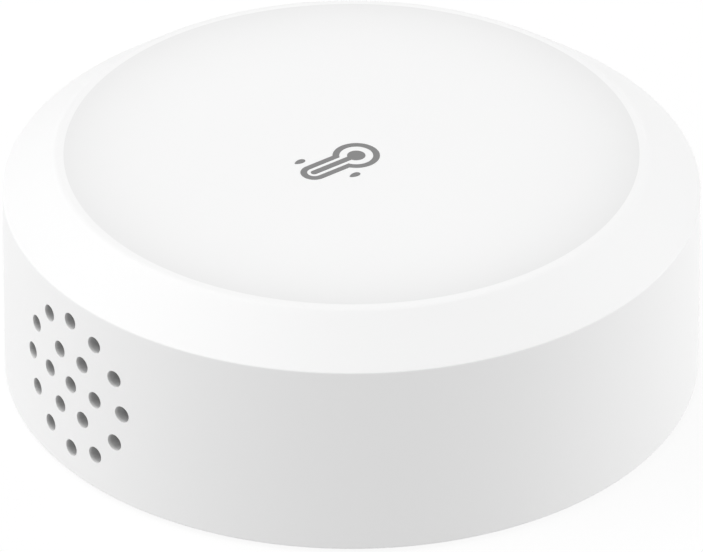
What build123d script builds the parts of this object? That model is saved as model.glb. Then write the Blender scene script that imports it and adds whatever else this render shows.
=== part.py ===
from build123d import *
import os
from math import asin, cos, degrees, hypot, radians, sin, sqrt, tan

# A round battery-powered temperature and humidity sensor, about fifty millimetres across.
# A one-piece moulded housing carries the board, and a base cover with a bayonet lock closes
# it from below, over the coin cell. Air reaches the sensing chip through a round group of
# vents in the front of the wall.
# Lengths are in millimetres and angles in degrees. The origin is on the round axis, in the
# plane that the base cover stands on. +Z is up, and the vents face -Y.

# Clearances and cutting
overrun = 1.0        # how far a cutter passes the face that it opens
side_gap = 0.3       # between round faces of pieces that turn against each other
turn_gap = 0.1       # axial play of the bayonet
slip_gap = 0.05      # between pieces that are pushed or laid together
run_gap = 0.06       # radial clearance of the switch plunger in its cover

# Housing, outer form
bottom_radius = 25.0
wall_height = 14.5
wall_draft = 0.6
bevel_width = 3.85
bevel_height = 2.85
rim_land = 0.55
dish_depth = 0.55
dish_flat_share = 0.45
edge_round = 0.15    # of the wall's lower edge and the shoulder
rim_round = 0.8      # of the land's outer edge
base_proud = 0.3     # the base cover stands this far below the wall's lower edge

# Housing, walls and inner features
wall = 2.0
roof = 1.8
boss_radius = 2.2
boss_edge = 2.7      # from the board's edge to the middle of a screw
pilot_depth = 4.2
rib = 1.0
gusset_drop = 2.4
rest_depth = 0.8     # how far a rest rib reaches over the board's edge
pin_radius = 0.75
pin_boss_radius = 1.4
pin_reach = 0.5
mouth_lead = 0.3
rest_angles = [20, 150, 212, 345]

# Vents
vent_radius = 0.625
vent_pitch = 2.63
vent_rings = 2
vent_middle = 7.38   # above the wall's lower edge
screen_thickness = 0.25
screen_margin = 0.8  # how far the screen reaches past the vents at each side

# Base cover and bayonet
base_thickness = 1.5
base_chamfer = 0.4
pad_radius = 17.5
pad_depth = 0.3
slot_length = 15.0
slot_width = 2.2
slot_depth = 1.2
slot_floor = 0.9
slot_boss_radius = 9.5
ring_rib_radius = 17.0
ring_rib_height = 1.0
lug_angles = [90, 210, 330]
lug_sweep = 20
ledge_extra = 2      # the ledge reaches past the lug by this angle at its entry
stop_gap_angle = 1
stop_sweep = 3
ledge_width = 1.3
ledge_thickness = 1.2
post_wall = 0.9
hook_thickness = 1.1
stop_height = 1.4
ramp_length = 3.0
ramp_drop = 0.5

# Coin cell
cell_radius = 12.25
cell_thickness = 5.0
cell_sheet = 0.3
cell_corner = 0.5
cap_radius = 10.2
crimp_radius = 10.9
crimp_height = 4.75
cap_skirt = 1.4
cathode_thickness = 2.6
separator_thickness = 0.15

# Coin cell holder and contacts
holder_wall = 1.15
holder_gap = 0.25
holder_floor = 0.6
holder_rise = 0.6    # the cell stands out of the holder by this much
spring_space = 0.5
window_length = 17.0
window_width = 5.6
notch_width = 9.0
clip_width = 4.0
clip_height = 0.6
clip_reach = 0.9
clip_angles = [35, 145, 215, 325]
contact_sheet = 0.25
contact_width = 4.0
contact_slot = 4.6
side_foot = 2.2
side_drop = 1.6
peg_radius = 0.6

# Board
board_thickness = 1.0
board_gap = 1.9      # from the board's edge to the wall
tongue_width = 5.0
tongue_length = 5.6
tongue_slot = 1.2
tongue_cross_share = 0.55
screw_hole_radius = 1.15

# Sensing chip and its chamber
chip_size = 2.5
chip_height = 0.9
chip_window_radius = 0.5
chip_window_depth = 0.35
chip_edge = 1.9
chamber_margin = 0.7
gasket_thickness = 1.4
gasket_height = 2.0
beside_gap = 1.6     # between the chamber's gasket and the boss beside it

# Radio module
module_width = 11.0
module_length = 15.0
module_board = 0.8
module_edge = 0.5    # from the module's far corner to the board's edge
module_shift = 4.0
antenna_length = 4.0
pad_pitch = 1.5
pad_hole_radius = 0.4
shield_height = 1.6
shield_sheet = 0.2
shield_inset = 0.6
shield_corner = 0.8
trace_width = 0.4
trace_height = 0.1
trace_turns = 4

# Pairing switch
switch_size = 4.5
switch_floor = 0.6
switch_wall_height = 1.3
switch_well_radius = 1.75
switch_cover_sheet = 0.2
dome_radius = 1.6
dome_rest = 0.2      # what is left of the dome's height when the plunger is pressed home
dome_sheet = 0.08
flange_radius = 1.6
flange_height = 0.62
plunger_radius = 1.1
plunger_reach = 1.7
plunger_round = 0.2
switch_travel = 0.25
switch_place_gap = 0.9
leg_width = 0.7
leg_sheet = 0.2
leg_foot = 0.6
leg_pitch = 3.0

# Light and small chips on the board
light_length = 1.6
light_width = 0.8
light_base = 0.25
light_height = 0.6
light_lens_share = 0.7
light_angle = 340
chip_part_length = 1.6
chip_part_width = 0.8
chip_part_height = 0.7
chip_part_pitch = 1.8
chip_part_count = 4
buffer_length = 3.5
buffer_width = 2.8
buffer_height = 1.9

# Board screws
screw_radius = 1.0
screw_length = 5.0
head_radius = 1.9
head_height = 1.3
head_round = 0.4
recess_width = 0.5
recess_length = 2.0
recess_depth = 0.7

# Heights, all from the surface that the base cover stands on
draft_slope = tan(radians(wall_draft))
wall_low = base_proud
bevel_low = wall_low + wall_height
rim_level = bevel_low + bevel_height
dish_level = rim_level - dish_depth
roof_level = dish_level - roof
ledge_low = base_thickness + turn_gap
ledge_high = ledge_low + ledge_thickness
hook_low = ledge_high + turn_gap
hook_high = hook_low + hook_thickness
slot_boss_high = slot_depth + slot_floor
cell_low = slot_boss_high + side_gap
cell_high = cell_low + cell_thickness
floor_low = cell_high + spring_space
board_low = floor_low + holder_floor
board_high = board_low + board_thickness
gasket_high = board_high + gasket_height
vent_level = wall_low + vent_middle

# Radii
shoulder_radius = bottom_radius - wall_height * draft_slope
rim_radius = shoulder_radius - bevel_width
dish_radius = rim_radius - rim_land
dish_flat_radius = dish_radius * dish_flat_share


def inner_radius(level):
    """Radius of the wall's inner face at a height: it has the same draft as the outside."""
    return bottom_radius - wall - (level - wall_low) * draft_slope


# The inner bevel lies a wall's thickness inside the outer one
bevel_run = hypot(bevel_width, bevel_height)
out_share = bevel_height / bevel_run
up_share = bevel_width / bevel_run
turn_level = bevel_low - wall * (1 - out_share) / (up_share - out_share * draft_slope)

# What fits inside
base_radius = inner_radius(wall_low) - side_gap
ledge_inner = inner_radius(ledge_low) - ledge_width
post_outer = ledge_inner - side_gap
post_inner = post_outer - post_wall
hook_outer = inner_radius(hook_high) - side_gap
holder_inner = cell_radius + holder_gap
holder_outer = holder_inner + holder_wall
board_radius = inner_radius(board_low) - board_gap
screw_circle = board_radius - boss_edge
vent_reach = vent_rings * vent_pitch + vent_radius
chamber_half = vent_reach + chamber_margin
chamber_side = chamber_half + gasket_thickness + beside_gap
tongue_root = board_radius - tongue_length
switch_x = holder_outer + switch_place_gap + switch_size / 2


def beside_chamber(radius):
    """Angle from the vents at which a boss of this radius stands beside the chamber."""
    return degrees(asin((chamber_side + radius) / screw_circle))


# Around the board: one screw and one pin stand beside the chamber, the others opposite
screw_angles = [70, 190, 270 + beside_chamber(boss_radius)]
pin_angles = [38, 270 - beside_chamber(pin_boss_radius)]


def post(radius, low, high):
    """Upright round post on the axis, between two heights."""
    return Pos(0, 0, low) * Cylinder(radius, high - low, align=(Align.CENTER, Align.CENTER, Align.MIN))


def block(width, length, low, high):
    """Upright rectangular block on the axis, between two heights."""
    return Pos(0, 0, low) * Box(width, length, high - low, align=(Align.CENTER, Align.CENTER, Align.MIN))


def drill(radius, low, high):
    """Cutter for a round hole that passes both heights."""
    return post(radius, low - overrun, high + overrun)


def window(width, length, low, high):
    """Cutter for a rectangular hole that passes both heights."""
    return block(width, length, low - overrun, high + overrun)


def at(radius, angle):
    """Place on a circle about the axis, turned to face outwards."""
    return Rot(0, 0, angle) * Pos(radius, 0, 0)


def turned(points, start=0, sweep=360):
    """Solid from a section of radius and height points, turned about the axis."""
    section = Plane.XZ * make_face(Polyline(*points, close=True))
    return Rot(0, 0, start) * revolve(section, Axis.Z, sweep)


def sector(inner, outer, low, high, start=0, sweep=360):
    """Ring, or a part of one, with a rectangular section."""
    return turned([(inner, low), (outer, low), (outer, high), (inner, high)], start, sweep)


def strip(points, width, sheet):
    """Bent sheet-metal strip: a path of across and height points, as wide as given."""
    path = Plane.XZ * trace(Polyline(*points), sheet)
    return extrude(path, width / 2, both=True)


def save(shape, node):
    """Write one node's file and print what it holds."""
    export_step(shape, f"parts/{node}.step")
    print(node, len(shape.solids()), round(shape.volume, 3))


# Housing
def housing_form():
    """Outer form: drafted wall, bevel, narrow flat rim, and a dish that flattens to its middle."""
    side = Polyline((0, wall_low), (bottom_radius, wall_low), (shoulder_radius, bevel_low),
                    (rim_radius, rim_level), (dish_radius, rim_level))
    dish = TangentArc((dish_flat_radius, dish_level), (dish_radius, rim_level), tangent=(1, 0))
    middle = Polyline((dish_flat_radius, dish_level), (0, dish_level), (0, wall_low))
    section = make_face(side.edges() + dish.edges() + middle.edges())
    rim_corner = section.vertices().group_by(Axis.Y)[-1].sort_by(Axis.X)[-1]
    section = fillet(rim_corner, rim_round)
    wall_corners = [corner for corner in section.vertices() if corner.X > rim_radius + rim_round]
    return revolve(Plane.XZ * fillet(wall_corners, edge_round), Axis.Z)


def housing_hollow():
    """Inside of the shell: drafted wall, inner bevel at the wall's thickness, and a flat roof."""
    roof_radius = shoulder_radius - (wall + up_share * (roof_level - bevel_low)) / out_share
    mouth_level = wall_low - overrun
    lead_level = wall_low + mouth_lead
    mouth_radius = inner_radius(lead_level) + mouth_lead + overrun
    return turned([(0, mouth_level), (mouth_radius, mouth_level), (inner_radius(lead_level), lead_level),
                   (inner_radius(turn_level), turn_level), (roof_radius, roof_level), (0, roof_level)])


def vent_places():
    """Middle of each vent, across and up: one in the middle and rings of six, twelve and so on."""
    places = [(0, 0)]
    for ring in range(1, vent_rings + 1):
        for step in range(6 * ring):
            turn = radians(360 / (6 * ring) * step)
            places.append((ring * vent_pitch * cos(turn), ring * vent_pitch * sin(turn)))
    return places


def vent_cutters():
    """Pins of the side core: all run straight back, so the vents are parallel."""
    pin = Pos(0, -shoulder_radius + wall, 0) * Rot(90, 0, 0) * Cylinder(vent_radius, wall * 2 + overrun * 2)
    return [Pos(across, 0, vent_level + up) * pin for across, up in vent_places()]


def ledge_ramp(start):
    """Cutter that slopes a ledge's entry, so that the hook climbs onto it."""
    slope = Polyline((-overrun, ledge_high + overrun), (ramp_length, ledge_high + overrun),
                     (ramp_length, ledge_high), (0, ledge_high - ramp_drop),
                     (-overrun, ledge_high - ramp_drop), close=True)
    return at(ledge_inner, start) * extrude(Plane.YZ * make_face(slope), wall * 2, both=True)


def bayonet_ledges():
    """Ledges that the base cover's hooks lie over, each with an entry ramp and a stop."""
    root = inner_radius(wall_low) + wall / 2
    sweep = ledge_extra + lug_sweep + stop_gap_angle + stop_sweep
    pieces = []
    for angle in lug_angles:
        start = angle - lug_sweep / 2 - ledge_extra
        stop = angle + lug_sweep / 2 + stop_gap_angle
        ledge = sector(ledge_inner, root, ledge_low, ledge_high, start, sweep)
        pieces.append(ledge - ledge_ramp(start))
        pieces.append(sector(ledge_inner, root, ledge_high, ledge_high + stop_height, stop, stop_sweep))
    return pieces


def screw_bosses():
    """Bosses for the board screws, each with a gusset out to the wall."""
    pieces = []
    for angle in screw_angles:
        pieces.append(at(screw_circle, angle) * post(boss_radius, board_high, dish_level))
        reach = bottom_radius - screw_circle
        gusset = block(reach, rib, board_high + gusset_drop, rim_level)
        pieces.append(at(screw_circle + reach / 2, angle) * gusset)
    return pieces


def board_rests():
    """Ribs down the wall that stop at the board's upper face."""
    reach = bottom_radius - board_radius + rest_depth
    rest = block(reach, rib, board_high, rim_level)
    return [at(bottom_radius - reach / 2, angle) * rest for angle in rest_angles]


def locating_pins():
    """Two pins that pass through the board, each on a thicker root."""
    pieces = []
    for angle in pin_angles:
        place = at(screw_circle, angle)
        pieces.append(place * post(pin_boss_radius, board_high, dish_level))
        pieces.append(place * post(pin_radius, board_low - pin_reach, board_high))
    return pieces


def chamber_outline(inset, low, high):
    """Upright block over the sensing chamber, from the wall back to the tongue's root."""
    half = chamber_half + gasket_thickness - inset
    back = tongue_root - gasket_thickness + inset
    length = bottom_radius - back
    return Pos(0, -back - length / 2, 0) * block(half * 2, length, low, high)


def chamber_walls():
    """Walls that part the sensing chamber from the warm electronics, down to the foam gasket."""
    margin = (gasket_thickness - rib) / 2
    outer = chamber_outline(margin, gasket_high, rim_level)
    return outer - chamber_outline(margin + rib, gasket_high - overrun, rim_level + overrun)


def make_housing():
    form = housing_form()
    inside = Part() + bayonet_ledges() + screw_bosses() + board_rests() + locating_pins() + chamber_walls()
    shell = form - housing_hollow() + (inside & form)
    pilot = post(screw_radius + slip_gap, board_high - overrun, board_high + pilot_depth)
    pilots = [at(screw_circle, angle) * pilot for angle in screw_angles]
    return shell - pilots - vent_cutters()


def make_vent_screen():
    """Thin woven screen behind the vents, laid on the wall's inner face."""
    low = ledge_low
    high = turn_level - slip_gap
    back_low = inner_radius(low) - slip_gap
    back_high = inner_radius(high) - slip_gap
    half_angle = Vector(1, 0).get_angle(Vector(back_low, vent_reach + screen_margin))
    points = [(back_low - screen_thickness, low), (back_low, low), (back_high, high),
              (back_high - screen_thickness, high)]
    return turned(points, 270 - half_angle, half_angle * 2)


def make_sensor_gasket():
    """Foam frame between the board and the chamber walls, open towards the vents."""
    outer = chamber_outline(0, board_high, gasket_high)
    frame = outer - chamber_outline(gasket_thickness, board_high - overrun, gasket_high + overrun)
    return frame & post(board_radius, board_high, gasket_high)


# Base cover
def coin_slot():
    """Straight slot with round ends, cut up into the base cover's underside."""
    bar = block(slot_length - slot_width, slot_width, -overrun, slot_depth)
    end = post(slot_width / 2, -overrun, slot_depth)
    shift = (slot_length - slot_width) / 2
    return bar + Pos(shift, 0, 0) * end + Pos(-shift, 0, 0) * end


def bayonet_lugs():
    """Hooked lugs that stand on the base cover and reach out over the housing's ledges."""
    root = base_thickness / 2
    points = [(post_inner, root), (post_outer, root), (post_outer, hook_low), (hook_outer, hook_low),
              (hook_outer, hook_high), (post_inner, hook_high)]
    return [turned(points, angle - lug_sweep / 2, lug_sweep) for angle in lug_angles]


def lug_gussets():
    """Sloped ribs from the ring rib up the back of each lug, two to a lug."""
    root = base_thickness / 2
    foot = ring_rib_radius - rib / 2
    back = post_inner + post_wall / 2
    side = Polyline((foot, root), (back, root), (back, hook_low), (foot, base_thickness + ring_rib_height),
                    close=True)
    gusset = extrude(Plane.XZ * make_face(side), rib / 2, both=True)
    return [Rot(0, 0, angle + turn) * gusset for angle in lug_angles for turn in (-lug_sweep / 4, lug_sweep / 4)]


def make_base_cover():
    plate = turned([(0, 0), (base_radius - base_chamfer, 0), (base_radius, base_chamfer),
                    (base_radius, base_thickness), (0, base_thickness)])
    root = base_thickness / 2
    ring = sector(ring_rib_radius - rib, ring_rib_radius, root, base_thickness + ring_rib_height)
    cover = plate + post(slot_boss_radius, root, slot_boss_high) + ring + bayonet_lugs() + lug_gussets()
    return cover - post(pad_radius, -overrun, pad_depth) - coin_slot()


# Board
def tongue_slots():
    """Routed slots that keep the board's heat from the tongue that carries the sensing chip."""
    side = window(tongue_slot, tongue_length + overrun, board_low, board_high)
    shift = (tongue_width + tongue_slot) / 2
    middle = tongue_root + (tongue_length + overrun) / 2
    cross = window(tongue_width * tongue_cross_share, tongue_slot, board_low, board_high)
    return [Pos(-shift, -middle, 0) * side, Pos(shift, -middle, 0) * side,
            Pos(0, -tongue_root - tongue_slot / 2, 0) * cross]


def make_main_board():
    board = post(board_radius, board_low, board_high)
    screw_hole = drill(screw_hole_radius, board_low, board_high)
    pin_hole = drill(pin_radius + run_gap, board_low, board_high)
    peg_hole = drill(peg_radius + slip_gap, board_low, board_high)
    holes = [at(screw_circle, angle) * screw_hole for angle in screw_angles]
    holes += [at(screw_circle, angle) * pin_hole for angle in pin_angles]
    holes += [peg_place(side) * peg_hole for side in (-1, 1)]
    return board - holes - tongue_slots()


def make_board_screw():
    """Pan-head screw, driven up from below, with a cross recess in its head."""
    head = post(head_radius, board_low - head_height, board_low)
    head = fillet(head.faces().sort_by(Axis.Z)[0].edges(), head_round)
    arm = block(recess_length, recess_width, board_low - head_height - overrun,
                board_low - head_height + recess_depth)
    return head + post(screw_radius, board_low, board_low + screw_length) - arm - Rot(0, 0, 90) * arm


def make_board_screws():
    screw = make_board_screw()
    return Compound(children=[at(screw_circle, angle) * screw for angle in screw_angles])


# Sensing chip
def make_sensor_chip():
    """Moulded chip at the tongue's end, with the round window over its sensing element."""
    body = block(chip_size, chip_size, board_high, board_high + chip_height)
    top = board_high + chip_height
    window = post(chip_window_radius, top - chip_window_depth, top + overrun)
    return Pos(0, -board_radius + chip_edge, 0) * (body - window)


# Coin cell
def make_cell_can():
    """Positive cup: flat face down, its rim crimped in over the gasket."""
    crimp = cell_low + crimp_height
    inner = cell_radius - cell_sheet
    turn = crimp - cell_sheet
    points = [(0, cell_low), (cell_radius - cell_corner, cell_low), (cell_radius, cell_low + cell_corner),
              (cell_radius, turn), (cell_radius - cell_sheet, crimp), (crimp_radius, crimp),
              (crimp_radius, turn), (inner - cell_sheet, turn), (inner, turn - cell_sheet),
              (inner, cell_low + cell_corner), (inner - cell_corner + cell_sheet, cell_low + cell_sheet),
              (0, cell_low + cell_sheet)]
    return turned(points)


def make_cell_cap():
    """Negative cap: an upturned cup with its skirt inside the gasket."""
    skirt_low = cell_high - cap_skirt
    inner = cap_radius - cell_sheet
    return turned([(0, cell_high - cell_sheet), (inner, cell_high - cell_sheet), (inner, skirt_low),
                   (cap_radius, skirt_low), (cap_radius, cell_high - cell_sheet),
                   (cap_radius - cell_sheet, cell_high), (0, cell_high)])


def make_cell_gasket():
    """Sealing ring between the cap's skirt and the crimped can."""
    inner = cap_radius + slip_gap
    outer = cell_radius - cell_sheet - slip_gap
    skirt_low = cell_high - cap_skirt
    shoulder = cell_low + crimp_height - cell_sheet * 2 - slip_gap
    lip = crimp_radius - slip_gap
    return turned([(inner, skirt_low), (outer, skirt_low), (outer, shoulder), (lip, shoulder),
                   (lip, cell_low + crimp_height), (inner, cell_low + crimp_height)])


def make_cell_cathode():
    low = cell_low + cell_sheet
    return post(cell_radius - cell_corner - slip_gap, low, low + cathode_thickness)


def make_cell_separator():
    low = cell_low + cell_sheet + cathode_thickness
    return post(cell_radius - cell_corner - slip_gap, low, low + separator_thickness)


def make_cell_anode():
    low = cell_low + cell_sheet + cathode_thickness + separator_thickness
    return post(cap_radius - cell_sheet - slip_gap, low, cell_high - cell_sheet)


# Coin cell holder and contacts
def peg_place(side):
    """Where a locating peg of the holder passes through the board."""
    return Pos(side * (holder_inner + holder_wall / 2), 0, 0)


def make_battery_holder():
    """Cup with a windowed floor against the board, finger notches and four snap clips."""
    rim_low = cell_low + holder_rise
    cup = post(holder_outer, rim_low, board_low) - post(holder_inner, rim_low - overrun, floor_low)
    cuts = [window(window_width, window_length, floor_low, board_low),
            Pos(0, holder_outer, 0) * window(contact_slot, holder_wall * 4, rim_low, board_low)]
    notch = block(notch_width, notch_width, rim_low - overrun, cell_high)
    cuts += [Pos(side * holder_outer, 0, 0) * notch for side in (-1, 1)]
    peg = post(peg_radius, board_low, board_high + pin_reach)
    pegs = [peg_place(side) * peg for side in (-1, 1)]
    return cup - cuts + pegs + holder_clips(rim_low)


def holder_clips(rim_low):
    """Fingers below the holder's rim, each with a sloped nose under the cell's edge."""
    half_angle = Vector(1, 0).get_angle(Vector(holder_outer, clip_width / 2))
    nose_high = cell_low - slip_gap
    tip_low = cell_low - clip_height
    points = [(cell_radius - clip_reach, nose_high), (cell_radius, tip_low), (holder_outer, tip_low),
              (holder_outer, rim_low), (holder_inner, rim_low), (holder_inner, nose_high)]
    return [turned(points, angle - half_angle, half_angle * 2) for angle in clip_angles]


def make_negative_contact():
    """Strip soldered under the board in the floor's window, with a tongue bent to the cap."""
    top = board_low - contact_sheet / 2
    tip = cell_high + contact_sheet / 2 + slip_gap
    half = window_length / 2 - contact_sheet
    points = [(-half, top), (-half / 2, top), (half / 4, tip), (half / 2, tip + contact_sheet)]
    return Rot(0, 0, 90) * strip(points, contact_width, contact_sheet)


def make_positive_contact():
    """Strip soldered outside the holder, bent down and in through its slot to the can's side."""
    top = board_low - contact_sheet / 2
    touch = cell_radius + contact_sheet / 2 + slip_gap
    outside = holder_outer + contact_sheet
    low = cell_low + cell_thickness / 3
    points = [(outside + side_foot, top), (outside, top), (outside, top - side_drop),
              (touch, (top - side_drop + low) / 2), (touch + contact_sheet, low)]
    return Rot(0, 0, 90) * strip(points, contact_width, contact_sheet)


# Radio module
module_far = sqrt((board_radius - module_edge) ** 2 - (module_shift + module_width / 2) ** 2)
module_place = Pos(-module_shift, module_far - module_length / 2, 0)
shield_low = board_high + module_board
shield_length = module_length - antenna_length - shield_inset


def make_radio_module():
    """Small board with half-round solder pads along both long edges."""
    board = block(module_width, module_length, board_high, board_high + module_board)
    hole = post(pad_hole_radius, board_high - overrun, board_high + module_board + overrun)
    count = int((module_length - antenna_length) / pad_pitch)
    holes = [Pos(side * module_width / 2, pad_pitch * (step + 0.5) - module_length / 2, 0) * hole
             for step in range(count) for side in (-1, 1)]
    return module_place * (board - holes)


def make_module_shield():
    """Drawn metal lid over the radio chip, open below."""
    width = module_width - shield_inset * 2
    place = module_place * Pos(0, (shield_inset - antenna_length) / 2, 0)
    outer = block(width, shield_length, shield_low, shield_low + shield_height)
    outer = fillet(outer.edges().filter_by(Axis.Z), shield_corner)
    inner = block(width - shield_sheet * 2, shield_length - shield_sheet * 2, shield_low - overrun,
                  shield_low + shield_height - shield_sheet)
    inner = fillet(inner.edges().filter_by(Axis.Z), shield_corner - shield_sheet)
    return place * (outer - inner)


def make_module_antenna():
    """Printed antenna: a trace that runs to and fro across the module's free end."""
    run = module_width - shield_inset * 2 - trace_width
    pitch = run / (trace_turns * 2)
    depth = antenna_length - shield_inset * 2
    points = []
    for step in range(trace_turns * 2 + 1):
        ends = [0, depth] if step % 2 == 0 else [depth, 0]
        points += [(step * pitch - run / 2, end) for end in ends]
    path = trace(Polyline(*points), trace_width)
    free_end = module_length / 2 - antenna_length + shield_inset
    return module_place * Pos(0, free_end, shield_low) * extrude(path, trace_height)


# Pairing switch, which hangs under the board and is pressed upwards
dome_height = dome_rest + switch_travel
switch_well_top = board_low - switch_floor
switch_cover_high = switch_well_top - switch_wall_height
flange_low = switch_cover_high + slip_gap / 2
switch_place = Pos(switch_x, 0, 0)


def make_switch_body():
    body = block(switch_size, switch_size, switch_cover_high, board_low)
    return switch_place * (body - post(switch_well_radius, switch_cover_high - overrun, switch_well_top))


def make_switch_cover():
    low = switch_cover_high - switch_cover_sheet
    plate = block(switch_size, switch_size, low, switch_cover_high)
    return switch_place * (plate - drill(plunger_radius + run_gap, low, switch_cover_high))


def make_switch_dome():
    """Snap dome on the well's floor: a shallow cap of thin spring sheet."""
    ball = (dome_radius ** 2 + dome_height ** 2) / (2 * dome_height)
    middle = switch_well_top - dome_height + ball
    band = post(dome_radius, switch_well_top - dome_height - overrun, switch_well_top)
    outer = Pos(0, 0, middle) * Sphere(ball)
    inner = Pos(0, 0, middle) * Sphere(ball - dome_sheet)
    return switch_place * ((outer & band) - inner)


def make_switch_plunger():
    """Flanged plunger under the dome, standing out through the cover."""
    tip = switch_cover_high - switch_cover_sheet - plunger_reach
    stem = post(plunger_radius, tip, flange_low + flange_height)
    stem = fillet(stem.faces().sort_by(Axis.Z)[0].edges(), plunger_round)
    return switch_place * (stem + post(flange_radius, flange_low, flange_low + flange_height))


def make_switch_terminals():
    """Four bent legs that solder the switch to the board."""
    side = switch_size / 2 + leg_sheet / 2
    points = [(side, board_low - switch_floor), (side, board_low - leg_sheet / 2),
              (side + leg_foot, board_low - leg_sheet / 2)]
    leg = strip(points, leg_width, leg_sheet)
    legs = [Rot(0, 0, turn) * Pos(0, side * leg_pitch / 2, 0) * leg for turn in (0, 180) for side in (-1, 1)]
    return switch_place * Rot(0, 0, 90) * Compound(children=legs)


# Light and small chips
light_place = at(switch_x, light_angle)


def make_status_light():
    body = block(light_width, light_length, board_low - light_base, board_low)
    return light_place * body


def make_light_lens():
    low = board_low - light_height
    return light_place * block(light_width, light_length * light_lens_share, low, board_low - light_base)


def chip_row(start_x, start_y):
    """Row of equal small chips on the board's upper face."""
    chip = block(chip_part_width, chip_part_length, board_high, board_high + chip_part_height)
    return Compound(children=[Pos(start_x + step * chip_part_pitch, start_y, 0) * chip
                              for step in range(chip_part_count)])


row_gap = chip_part_length * 2
row_start = module_width / 2 - module_shift + chip_part_pitch
row_line = module_far - module_length


def make_capacitors():
    return chip_row(row_start, row_line)


def make_resistors():
    return chip_row(row_start, row_line - row_gap)


def make_buffer_capacitor():
    """Moulded capacitor that carries the radio's short current peaks."""
    place = Pos(-module_shift, row_line - row_gap - buffer_width, 0)
    return place * block(buffer_length, buffer_width, board_high, board_high + buffer_height)


os.makedirs("parts", exist_ok=True)
save(make_housing(), "housing")
save(make_vent_screen(), "vent_screen")
save(make_sensor_gasket(), "sensor_gasket")
save(make_base_cover(), "base_cover")
save(make_main_board(), "main_board")
save(make_board_screws(), "board_screws")
save(make_sensor_chip(), "sensor_chip")
save(make_cell_can(), "cell_can")
save(make_cell_cap(), "cell_cap")
save(make_cell_gasket(), "cell_gasket")
save(make_cell_cathode(), "cell_cathode")
save(make_cell_separator(), "cell_separator")
save(make_cell_anode(), "cell_anode")
save(make_battery_holder(), "battery_holder")
save(make_negative_contact(), "negative_contact")
save(make_positive_contact(), "positive_contact")
save(make_radio_module(), "radio_module")
save(make_module_shield(), "module_shield")
save(make_module_antenna(), "module_antenna")
save(make_switch_body(), "switch_body")
save(make_switch_cover(), "switch_cover")
save(make_switch_dome(), "switch_dome")
save(make_switch_plunger(), "switch_plunger")
save(make_switch_terminals(), "switch_terminals")
save(make_status_light(), "status_light")
save(make_light_lens(), "light_lens")
save(make_capacitors(), "capacitors")
save(make_resistors(), "resistors")
save(make_buffer_capacitor(), "buffer_capacitor")
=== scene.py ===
# %% [markdown]
# # A round room sensor on a white table
#
# The object is a small battery sensor that measures temperature and humidity: a low white puck
# with a drafted wall, a bevelled shoulder, a shallow dish in its top, a small printed thermometer
# and a round group of air vents. The CAD model is already packed as a fixed frame. This lesson
# dresses it: fine surfaces for what the eye sees, a finish for every piece, and a plain studio.
#
# Lengths are in millimetres until a mesh is written, and one factor turns them into metres.

# %% Load the frame
from math import acos, asin, atan2, cos, hypot, pi, radians, sin, tan

import bmesh
import bpy
import numpy as np
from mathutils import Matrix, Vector
from mathutils.geometry import delaunay_2d_cdt


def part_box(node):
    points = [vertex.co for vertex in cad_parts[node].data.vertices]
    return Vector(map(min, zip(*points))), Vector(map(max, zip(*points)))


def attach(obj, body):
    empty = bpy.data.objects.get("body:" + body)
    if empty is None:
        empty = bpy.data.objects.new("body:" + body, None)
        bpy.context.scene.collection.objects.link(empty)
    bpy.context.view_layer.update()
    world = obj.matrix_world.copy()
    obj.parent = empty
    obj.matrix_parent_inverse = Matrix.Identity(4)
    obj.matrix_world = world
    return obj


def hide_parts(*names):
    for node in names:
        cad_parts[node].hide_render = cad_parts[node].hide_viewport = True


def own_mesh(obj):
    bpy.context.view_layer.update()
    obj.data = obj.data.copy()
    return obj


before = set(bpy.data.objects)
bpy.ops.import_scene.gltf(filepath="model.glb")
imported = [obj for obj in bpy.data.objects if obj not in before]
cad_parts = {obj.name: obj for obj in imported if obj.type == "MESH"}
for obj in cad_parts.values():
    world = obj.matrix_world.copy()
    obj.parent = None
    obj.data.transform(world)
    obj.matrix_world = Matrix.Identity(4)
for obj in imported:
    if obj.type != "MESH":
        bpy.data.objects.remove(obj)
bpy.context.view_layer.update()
scene = bpy.context.scene
MM = 0.001

# %% [markdown]
# ## The camera
#
# A product picture is usually taken from far away with a long lens, so that circles stay clean
# ellipses. The lens and the distance were fitted to the ellipses of the lower edge, the shoulder
# and the rim, so the puck fills the frame as it does in the picture. The vents face -Y, and the
# camera stands to the right of them.

# %% Camera
camera_turn = radians(52.16)   # from the vents' side, -Y, towards +X
camera_rise = radians(32.28)
camera_reach = 583.4
camera_lens, sensor_width = 416.6, 36
aim = np.array([0, 0, 7.03])


def placed(name, data, aim, turn, rise, reach):
    """Camera or lamp that looks at an aim from a place turned from -Y towards +X, and raised above
    the floor: the direction is (sin turn cos rise, -cos turn cos rise, sin rise)."""
    thing = bpy.data.objects.new(name, data)
    back = np.array([sin(turn) * cos(rise), -cos(turn) * cos(rise), sin(rise)])
    thing.location = (aim + back * reach) * MM
    thing.rotation_euler = Vector(back).to_track_quat("Z", "Y").to_euler()
    scene.collection.objects.link(thing)
    return thing


camera = placed("camera", bpy.data.cameras.new("camera"), aim, camera_turn, camera_rise, camera_reach)
camera.data.lens, camera.data.sensor_width = camera_lens, sensor_width
camera.data.sensor_fit = "HORIZONTAL"
camera.data.clip_start = 0.01
scene.camera = camera
scene.view_settings.view_transform = "Standard"
print("camera at", [round(c, 3) for c in camera.location])

# %% [markdown]
# ## The lamps
#
# The wall is darkest just right of the middle and lightens to both sides, and the bevel is
# brightest on the left. That asks for three large soft lamps: one low on each side, and one high
# on the left. Each is an area lamp a metre away. Its power is the brightness of its face times pi
# times its area, so that a face of brightness 1 would look white. The scene was rendered with one
# lamp at a time, and the strengths were solved so that their sum gives the picture's tones: a
# white surface then stays just under white, and no lamp burns it out.

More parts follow.
